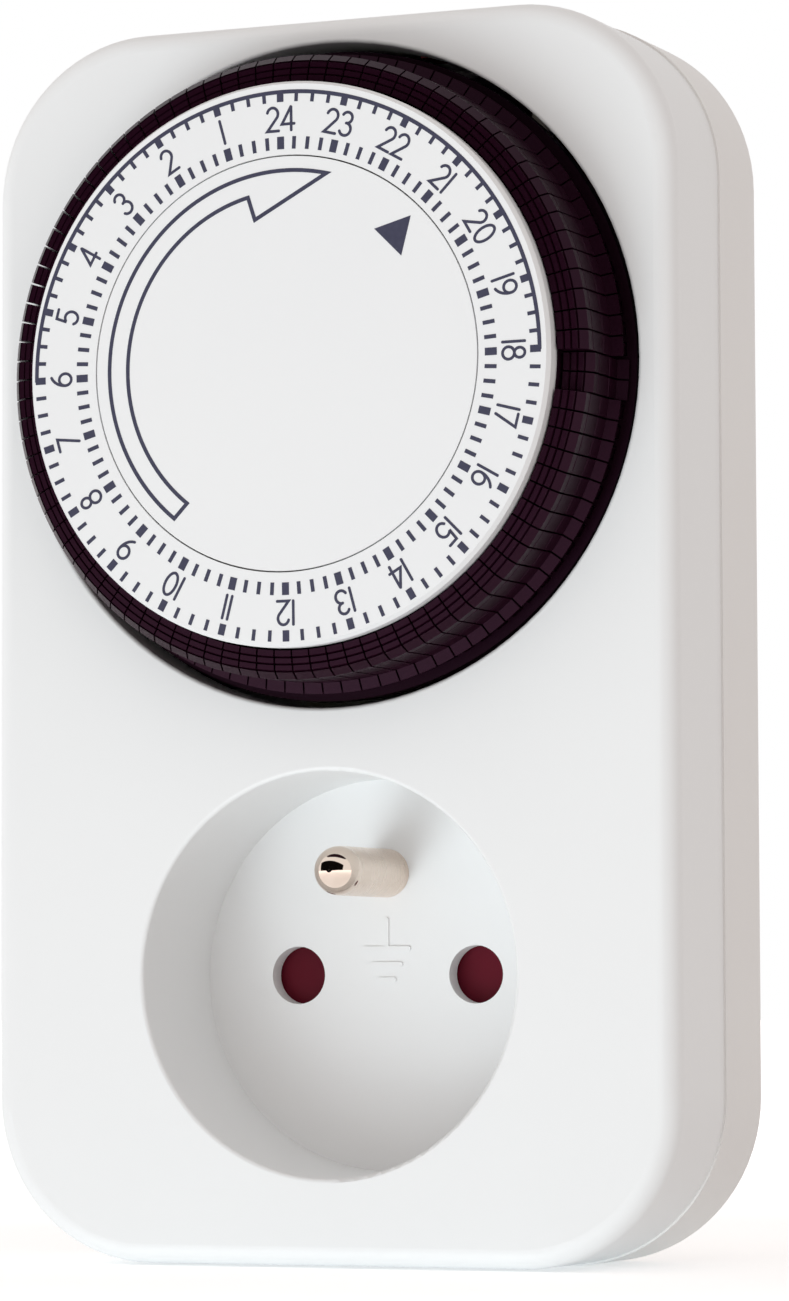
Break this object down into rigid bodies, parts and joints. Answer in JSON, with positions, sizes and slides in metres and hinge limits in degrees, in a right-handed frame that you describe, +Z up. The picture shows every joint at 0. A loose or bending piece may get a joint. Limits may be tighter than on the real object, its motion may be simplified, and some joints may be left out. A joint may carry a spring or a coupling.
{
  "type": "plug-in timer switch",
  "caption": "Mechanical plug-in timer switch: white housing, turning 24-hour dial with a ring of push-in tappets, pin-earthed socket in front and hybrid plug behind.",
  "frame": {"origin": "middle of the plug's end face, between the two pins", "axes": "+Z up, the front with dial and socket faces -Y, the plug pins point along +Y into the wall"},
  "size_m": [0.072, 0.0701, 0.1211],
  "materials": {
    "shell_white": "fine satin moulded polycarbonate",
    "cover_white": "fine satin moulded polycarbonate",
    "dial_white": "satin printed plastic",
    "tappet_black": "satin moulded plastic",
    "carrier_black": "satin moulded plastic",
    "gear_plastic": "natural acetal",
    "plate_plastic": "glass-filled plastic",
    "shutter_red": "satin moulded plastic",
    "slider_red": "satin moulded plastic",
    "carrier_grey": "moulded plastic",
    "nickel": "bright nickel plate",
    "steel": "zinc-plated steel",
    "brass": "plain brass",
    "bronze": "spring bronze",
    "copper": "enamelled copper winding",
    "magnet": "sintered magnet"
  },
  "bodies": {
    "base": {"front_housing": "shell_white", "rear_cover": "cover_white", "housing_screws": "steel", "centre_disc": "dial_white", "dial_spindle": "steel", "mechanism_plate": "plate_plastic", "plate_screws": "steel", "wheel_arbor": "steel", "motor_can": "steel", "motor_coil": "copper", "lever_pivot": "steel", "fixed_contact": "brass", "shutter_spring": "steel", "contact_carrier": "carrier_grey", "live_sleeve": "bronze", "neutral_sleeve": "bronze", "live_out_bar": "brass", "live_in_bar": "brass", "neutral_link": "brass", "front_earth_pin": "nickel", "earth_strap": "brass", "rear_earth_sleeve": "bronze", "earth_clips": "nickel", "plug_pins": "nickel"},
    "dial": {"dial_carrier": "carrier_black", "number_ring": "dial_white"},
    "wheel": {"intermediate_wheel": "gear_plastic", "clutch_pinion": "brass", "clutch_spring": "steel"},
    "output": {"output_pinion": "brass"},
    "rotor": {"motor_rotor": "magnet"},
    "slider": {"override_slider": "slider_red"},
    "lever": {"switch_lever": "gear_plastic"},
    "leaf": {"leaf_contact": "bronze"},
    "shutter_body": {"shutter": "shutter_red"},
    "tappets_01_body": {"tappets_01": "tappet_black"},
    "tappets_02_body": {"tappets_02": "tappet_black"},
    "tappets_03_body": {"tappets_03": "tappet_black"},
    "tappets_04_body": {"tappets_04": "tappet_black"},
    "tappets_05_body": {"tappets_05": "tappet_black"},
    "tappets_06_body": {"tappets_06": "tappet_black"},
    "tappets_07_body": {"tappets_07": "tappet_black"},
    "tappets_08_body": {"tappets_08": "tappet_black"},
    "tappets_09_body": {"tappets_09": "tappet_black"},
    "tappets_10_body": {"tappets_10": "tappet_black"},
    "tappets_11_body": {"tappets_11": "tappet_black"},
    "tappets_12_body": {"tappets_12": "tappet_black"},
    "tappets_13_body": {"tappets_13": "tappet_black"},
    "tappets_14_body": {"tappets_14": "tappet_black"},
    "tappets_15_body": {"tappets_15": "tappet_black"},
    "tappets_16_body": {"tappets_16": "tappet_black"},
    "tappets_17_body": {"tappets_17": "tappet_black"},
    "tappets_18_body": {"tappets_18": "tappet_black"},
    "tappets_19_body": {"tappets_19": "tappet_black"},
    "tappets_20_body": {"tappets_20": "tappet_black"},
    "tappets_21_body": {"tappets_21": "tappet_black"},
    "tappets_22_body": {"tappets_22": "tappet_black"},
    "tappets_23_body": {"tappets_23": "tappet_black"},
    "tappets_set_body": {"tappets_set": "tappet_black"},
    "tappets_pair_body": {"tappets_pair": "tappet_black"}
  },
  "joints": [
    {"name": "dial_turn", "type": "hinge", "parent": "base", "child": "dial", "pos_m": [0, -0.0416, 0.0579], "axis": [0, -1, 0], "continuous": true},
    {"name": "wheel_turn", "type": "hinge", "parent": "base", "child": "wheel", "pos_m": [-0.0165, -0.0356, 0.05189], "axis": [0, -1, 0], "continuous": true},
    {"name": "output_turn", "type": "hinge", "parent": "base", "child": "output", "pos_m": [-0.01458, -0.0346, 0.06279], "axis": [0, -1, 0], "continuous": true},
    {"name": "rotor_spin", "type": "hinge", "parent": "base", "child": "rotor", "pos_m": [-0.01458, -0.0241, 0.06279], "axis": [0, -1, 0], "continuous": true},
    {"name": "slider_slide", "type": "slide", "parent": "base", "child": "slider", "axis": [1, 0, 0], "range_m": [-0.0035, 0]},
    {"name": "lever_swing", "type": "hinge", "parent": "base", "child": "lever", "pos_m": [0.0284, -0.0351, 0.07929], "axis": [0, -1, 0], "range_deg": [0, 12]},
    {"name": "leaf_flex", "type": "hinge", "parent": "base", "child": "leaf", "pos_m": [0.01528, -0.0296, 0.08855], "axis": [0, -1, 0], "range_deg": [-12, 0]},
    {"name": "shutter_turn", "type": "hinge", "parent": "base", "child": "shutter_body", "pos_m": [0, -0.0238, 0], "axis": [0, -1, 0], "range_deg": [0, 40], "stiffness_Nm_per_rad": 0.003, "springref_deg": -17.19},
    {"name": "tappets_01_push", "type": "slide", "parent": "dial", "child": "tappets_01_body", "axis": [0, 1, 0], "range_m": [0, 0.0016]},
    {"name": "tappets_02_push", "type": "slide", "parent": "dial", "child": "tappets_02_body", "axis": [0, 1, 0], "range_m": [0, 0.0016]},
    {"name": "tappets_03_push", "type": "slide", "parent": "dial", "child": "tappets_03_body", "axis": [0, 1, 0], "range_m": [0, 0.0016]},
    {"name": "tappets_04_push", "type": "slide", "parent": "dial", "child": "tappets_04_body", "axis": [0, 1, 0], "range_m": [0, 0.0016]},
    {"name": "tappets_05_push", "type": "slide", "parent": "dial", "child": "tappets_05_body", "axis": [0, 1, 0], "range_m": [0, 0.0016]},
    {"name": "tappets_06_push", "type": "slide", "parent": "dial", "child": "tappets_06_body", "axis": [0, 1, 0], "range_m": [0, 0.0016]},
    {"name": "tappets_07_push", "type": "slide", "parent": "dial", "child": "tappets_07_body", "axis": [0, 1, 0], "range_m": [0, 0.0016]},
    {"name": "tappets_08_push", "type": "slide", "parent": "dial", "child": "tappets_08_body", "axis": [0, 1, 0], "range_m": [0, 0.0016]},
    {"name": "tappets_09_push", "type": "slide", "parent": "dial", "child": "tappets_09_body", "axis": [0, 1, 0], "range_m": [0, 0.0016]},
    {"name": "tappets_10_push", "type": "slide", "parent": "dial", "child": "tappets_10_body", "axis": [0, 1, 0], "range_m": [0, 0.0016]},
    {"name": "tappets_11_push", "type": "slide", "parent": "dial", "child": "tappets_11_body", "axis": [0, 1, 0], "range_m": [0, 0.0016]},
    {"name": "tappets_12_push", "type": "slide", "parent": "dial", "child": "tappets_12_body", "axis": [0, 1, 0], "range_m": [0, 0.0016]},
    {"name": "tappets_13_push", "type": "slide", "parent": "dial", "child": "tappets_13_body", "axis": [0, 1, 0], "range_m": [0, 0.0016]},
    {"name": "tappets_14_push", "type": "slide", "parent": "dial", "child": "tappets_14_body", "axis": [0, 1, 0], "range_m": [0, 0.0016]},
    {"name": "tappets_15_push", "type": "slide", "parent": "dial", "child": "tappets_15_body", "axis": [0, 1, 0], "range_m": [0, 0.0016]},
    {"name": "tappets_16_push", "type": "slide", "parent": "dial", "child": "tappets_16_body", "axis": [0, 1, 0], "range_m": [0, 0.0016]},
    {"name": "tappets_17_push", "type": "slide", "parent": "dial", "child": "tappets_17_body", "axis": [0, 1, 0], "range_m": [0, 0.0016]},
    {"name": "tappets_18_push", "type": "slide", "parent": "dial", "child": "tappets_18_body", "axis": [0, 1, 0], "range_m": [0, 0.0016]},
    {"name": "tappets_19_push", "type": "slide", "parent": "dial", "child": "tappets_19_body", "axis": [0, 1, 0], "range_m": [0, 0.0016]},
    {"name": "tappets_20_push", "type": "slide", "parent": "dial", "child": "tappets_20_body", "axis": [0, 1, 0], "range_m": [0, 0.0016]},
    {"name": "tappets_21_push", "type": "slide", "parent": "dial", "child": "tappets_21_body", "axis": [0, 1, 0], "range_m": [0, 0.0016]},
    {"name": "tappets_22_push", "type": "slide", "parent": "dial", "child": "tappets_22_body", "axis": [0, 1, 0], "range_m": [0, 0.0016]},
    {"name": "tappets_23_push", "type": "slide", "parent": "dial", "child": "tappets_23_body", "axis": [0, 1, 0], "range_m": [0, 0.0016]},
    {"name": "tappets_pair_push", "type": "slide", "parent": "dial", "child": "tappets_pair_body", "axis": [0, 1, 0], "range_m": [0, 0.0016]},
    {"name": "tappets_set_push", "type": "slide", "parent": "dial", "child": "tappets_set_body", "axis": [0, 1, 0], "range_m": [-0.0016, 0]}
  ],
  "couplings": [
    {"joint": "wheel_turn", "follows": "dial_turn", "ratio": -6},
    {"joint": "output_turn", "follows": "dial_turn", "ratio": 20.4},
    {"joint": "lever_swing", "follows": "slider_slide", "rad_per_m": -59.8},
    {"joint": "leaf_flex", "follows": "slider_slide", "rad_per_m": 52}
  ]
}
